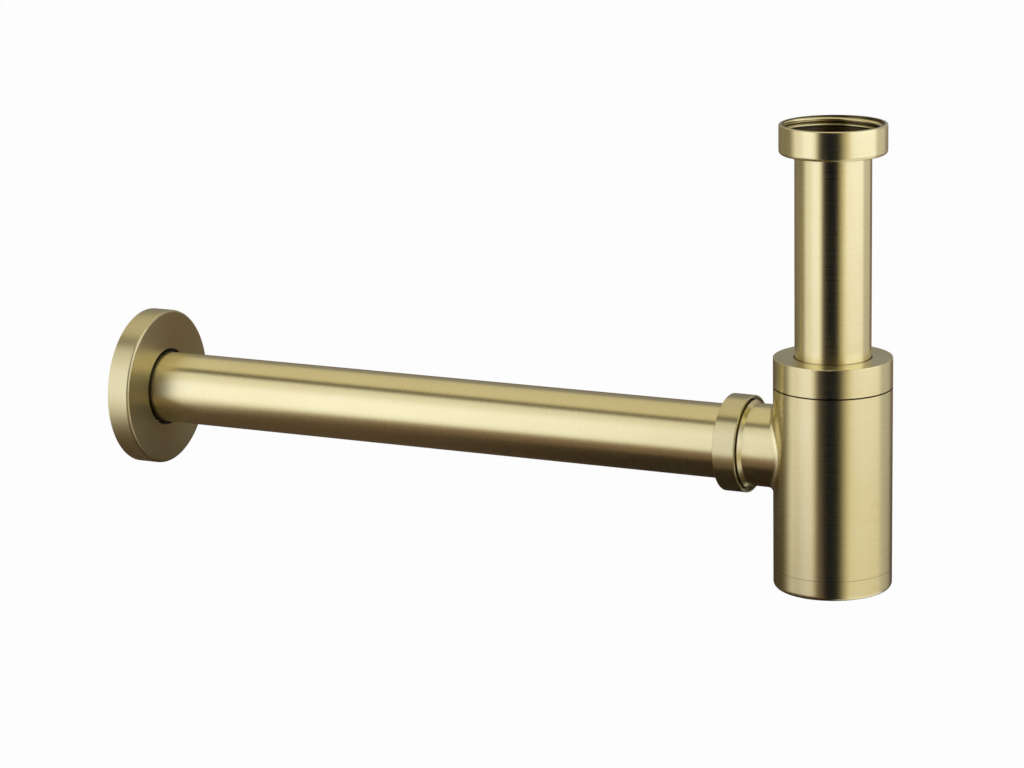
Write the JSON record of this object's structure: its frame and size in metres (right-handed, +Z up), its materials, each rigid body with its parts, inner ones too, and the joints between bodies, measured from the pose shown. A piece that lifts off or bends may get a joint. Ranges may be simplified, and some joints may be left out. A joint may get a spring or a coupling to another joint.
{
  "type": "bottle trap",
  "caption": "Brushed brass bottle trap for a wash basin: a dip tube in a cup with a screw-off bottom, a side outlet tube and a round wall flange.",
  "frame": {"origin": "centre of the inlet nut's mouth", "axes": "+Z up along the dip tube, -X along the outlet tube towards the wall"},
  "size_m": [0.37, 0.0704, 0.1975],
  "materials": {
    "brushed_brass": "brushed",
    "black_rubber": "matt",
    "white_nylon": "matt"
  },
  "bodies": {
    "bottle": {"bottle_body": "brushed_brass", "tube_seal": "black_rubber", "outlet_seal": "black_rubber"},
    "inlet_tube": {"inlet_tube": "brushed_brass", "inlet_washer": "black_rubber"},
    "inlet_nut": {"inlet_nut": "brushed_brass"},
    "top_cap_ring": {"tube_slip_ring": "white_nylon"},
    "top_cap": {"top_cap": "brushed_brass"},
    "bottom_cap_ring": {"bottom_cap_o_ring": "black_rubber"},
    "bottom_cap": {"bottom_cap": "brushed_brass"},
    "outlet_nut_ring": {"outlet_slip_ring": "white_nylon"},
    "outlet_nut": {"outlet_nut": "brushed_brass"},
    "outlet_tube": {"outlet_tube": "brushed_brass"},
    "wall_flange": {"wall_flange": "brushed_brass", "flange_o_ring": "black_rubber"}
  },
  "joints": [
    {"name": "inlet_tube_slide", "type": "slide", "parent": "bottle", "child": "inlet_tube", "axis": [0, 0, 1], "range_m": [-0.008, 0.02]},
    {"name": "inlet_nut_spin", "type": "hinge", "parent": "inlet_tube", "child": "inlet_nut", "pos_m": [0, 0, 0], "axis": [0, 0, 1], "continuous": true},
    {"name": "top_cap_lift", "type": "slide", "parent": "bottle", "child": "top_cap_ring", "axis": [0, 0, 1], "range_m": [0, 0.00801]},
    {"name": "top_cap_turn", "type": "hinge", "parent": "top_cap_ring", "child": "top_cap", "pos_m": [0, 0, 0], "axis": [0, 0, 1], "range_deg": [0, 1920]},
    {"name": "bottom_cap_drop", "type": "slide", "parent": "bottle", "child": "bottom_cap_ring", "axis": [0, 0, -1], "range_m": [0, 0.00801]},
    {"name": "bottom_cap_turn", "type": "hinge", "parent": "bottom_cap_ring", "child": "bottom_cap", "pos_m": [0, 0, 0], "axis": [0, 0, -1], "range_deg": [0, 1920]},
    {"name": "outlet_nut_back", "type": "slide", "parent": "bottle", "child": "outlet_nut_ring", "axis": [-1, 0, 0], "range_m": [0, 0.00701]},
    {"name": "outlet_nut_turn", "type": "hinge", "parent": "outlet_nut_ring", "child": "outlet_nut", "pos_m": [0, 0, -0.1392], "axis": [-1, 0, 0], "range_deg": [0, 1680]},
    {"name": "outlet_tube_slide", "type": "slide", "parent": "bottle", "child": "outlet_tube", "axis": [-1, 0, 0], "range_m": [0, 0.009]},
    {"name": "wall_flange_slide", "type": "slide", "parent": "outlet_tube", "child": "wall_flange", "axis": [1, 0, 0], "range_m": [-0.01, 0.23]}
  ],
  "couplings": [
    {"joint": "top_cap_lift", "follows": "top_cap_turn", "m_per_rad": 0.00023873},
    {"joint": "bottom_cap_drop", "follows": "bottom_cap_turn", "m_per_rad": 0.00023873},
    {"joint": "outlet_nut_back", "follows": "outlet_nut_turn", "m_per_rad": 0.00023873}
  ]
}
